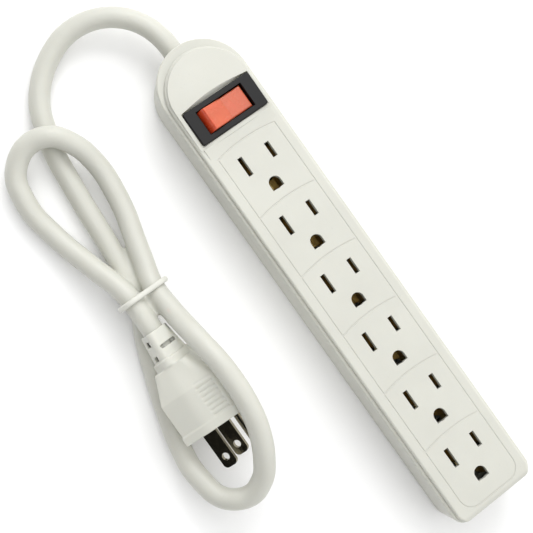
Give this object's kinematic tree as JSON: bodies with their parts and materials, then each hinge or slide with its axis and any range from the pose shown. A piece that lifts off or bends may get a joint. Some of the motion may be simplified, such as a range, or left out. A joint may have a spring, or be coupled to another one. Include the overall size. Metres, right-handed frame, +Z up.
{
  "type": "power strip",
  "caption": "Long power strip with one square and one rounded end, a row of grounded outlets, a lighted rocker switch and a tied coil of cord ending in a three-pin plug.",
  "frame": {"origin": "centre of the flat underside of the housing", "axes": "+Z up out of the outlet face, +Y along the strip toward the cord end, +X to the right seen from above with the cord end up"},
  "size_m": [0.1152, 0.2572, 0.0406],
  "materials": {
    "housing": "fine moulded semi-gloss",
    "tray": "fine moulded semi-gloss",
    "bezel": "semi-gloss",
    "rocker": "translucent, polished",
    "plunger": "plain moulded",
    "spring_steel": "drawn wire",
    "lamp_glass": "clear tube",
    "resistor": "lacquered body with colour bands",
    "bus_brass": "rolled strip",
    "terminals": "tin-dulled strip",
    "contacts": "silver alloy",
    "screws": "zinc plated",
    "clamp_metal": "plain strip",
    "black_wire": "soft insulation",
    "white_wire": "soft insulation",
    "green_wire": "soft insulation",
    "cord": "soft vinyl, slightly glossy",
    "plug": "soft vinyl, moulded",
    "core": "plain moulded",
    "blades": "nickel-dulled strip",
    "tie": "coated band"
  },
  "bodies": {
    "strip": {"top_cover": "housing", "base_tray": "tray", "housing_screws": "screws", "line_bus": "bus_brass", "neutral_bus": "bus_brass", "ground_bus": "bus_brass", "switch_case": "bezel", "line_in_terminal": "terminals", "line_out_terminal": "terminals", "lamp_terminal": "terminals", "fixed_contact": "contacts", "crimp_connectors": "terminals", "switch_to_bus_wire": "black_wire", "lamp_wire": "white_wire", "cord_clamp": "clamp_metal", "clamp_screws": "screws", "cord_jacket": "cord", "line_wire": "black_wire", "neutral_wire": "white_wire", "ground_wire": "green_wire", "plug_wires": "black_wire", "plug_body": "plug", "plug_core": "core", "line_blade": "blades", "neutral_blade": "blades", "ground_pin": "blades", "twist_tie": "tie"},
    "rocker": {"switch_rocker": "rocker", "switch_plunger": "plunger", "plunger_spring": "spring_steel", "neon_lamp": "lamp_glass", "lamp_resistor": "resistor"},
    "arm": {"contact_arm": "bus_brass", "moving_contact": "contacts"}
  },
  "joints": [
    {"name": "rocker_tilt", "type": "hinge", "parent": "strip", "child": "rocker", "pos_m": [0.0004, 0.0792, 0.0225], "axis": [0, 1, 0], "range_deg": [-20, 0]},
    {"name": "arm_rock", "type": "hinge", "parent": "strip", "child": "arm", "pos_m": [0.0004, 0.0792, 0.0126], "axis": [0, 1, 0], "range_deg": [0, 14]}
  ],
  "couplings": [
    {"joint": "arm_rock", "follows": "rocker_tilt", "ratio": -0.7}
  ]
}
